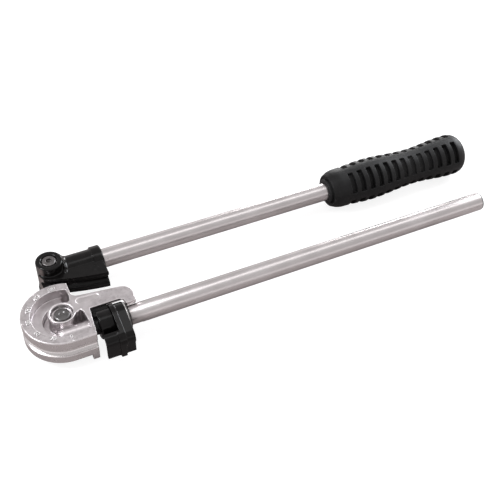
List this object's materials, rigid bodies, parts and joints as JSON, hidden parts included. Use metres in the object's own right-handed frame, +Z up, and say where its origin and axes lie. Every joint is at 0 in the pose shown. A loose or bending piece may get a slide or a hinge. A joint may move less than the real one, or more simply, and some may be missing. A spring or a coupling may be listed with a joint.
{
  "type": "manual tube bender",
  "caption": "Lever tube bender: grooved 180-degree forming die with angle scale, fixed bar handle, swinging tube latch, and a gripped handle with a forming shoe on a pivoting link.",
  "frame": {"origin": "middle of the tool's footprint, on the surface that it lies on", "axes": "+X along both handles to their free ends, +Y from the fixed handle to the moving handle, +Z up out of the die's scale face"},
  "size_m": [0.5263, 0.1358, 0.046],
  "materials": {
    "cast_aluminium": "satin die-cast aluminium, brighter along worn edges",
    "black_casting": "semi-gloss black paint on a casting",
    "handle_steel": "bright drawn and plated steel tube",
    "dark_steel": "blackened steel",
    "zinc_steel": "plain steel hardware",
    "bronze": "sintered bronze bush",
    "grip_rubber": "matte moulded rubber",
    "plug_plastic": "matte moulded plug"
  },
  "bodies": {
    "former": {"forming_die": "cast_aluminium", "centre_pin": "dark_steel", "pin_lock_dowel": "zinc_steel", "anchor_block": "black_casting", "anchor_stud": "zinc_steel", "anchor_washer": "zinc_steel", "anchor_nut": "zinc_steel", "fixed_handle_tube": "handle_steel", "fixed_handle_pin": "zinc_steel", "fixed_handle_plug": "plug_plastic", "latch_spring_washer": "zinc_steel", "latch_retaining_ring": "dark_steel", "link_retaining_ring": "dark_steel"},
    "link": {"link_arm": "black_casting", "link_bush": "bronze", "link_thrust_washer": "zinc_steel", "boss_bolt": "dark_steel", "boss_bolt_nut": "zinc_steel", "boss_top_washer": "zinc_steel", "boss_thrust_washer": "zinc_steel"},
    "moving_handle": {"moving_head": "black_casting", "boss_bushes": "bronze", "moving_handle_tube": "handle_steel", "moving_handle_pin": "zinc_steel", "hand_grip": "grip_rubber"},
    "latch": {"tube_latch": "black_casting"}
  },
  "joints": [
    {"name": "link_swing", "type": "hinge", "parent": "former", "child": "link", "pos_m": [-0.22585, -0.01959, 0.023], "axis": [0, 0, 1], "range_deg": [0, 185]},
    {"name": "handle_swing", "type": "hinge", "parent": "link", "child": "moving_handle", "pos_m": [-0.21865, 0.04491, 0.023], "axis": [0, 0, 1], "range_deg": [-5, 130]},
    {"name": "latch_lift", "type": "hinge", "parent": "former", "child": "latch", "pos_m": [-0.17835, -0.03659, 0.023], "axis": [-1, 0, 0], "range_deg": [0, 74]}
  ]
}
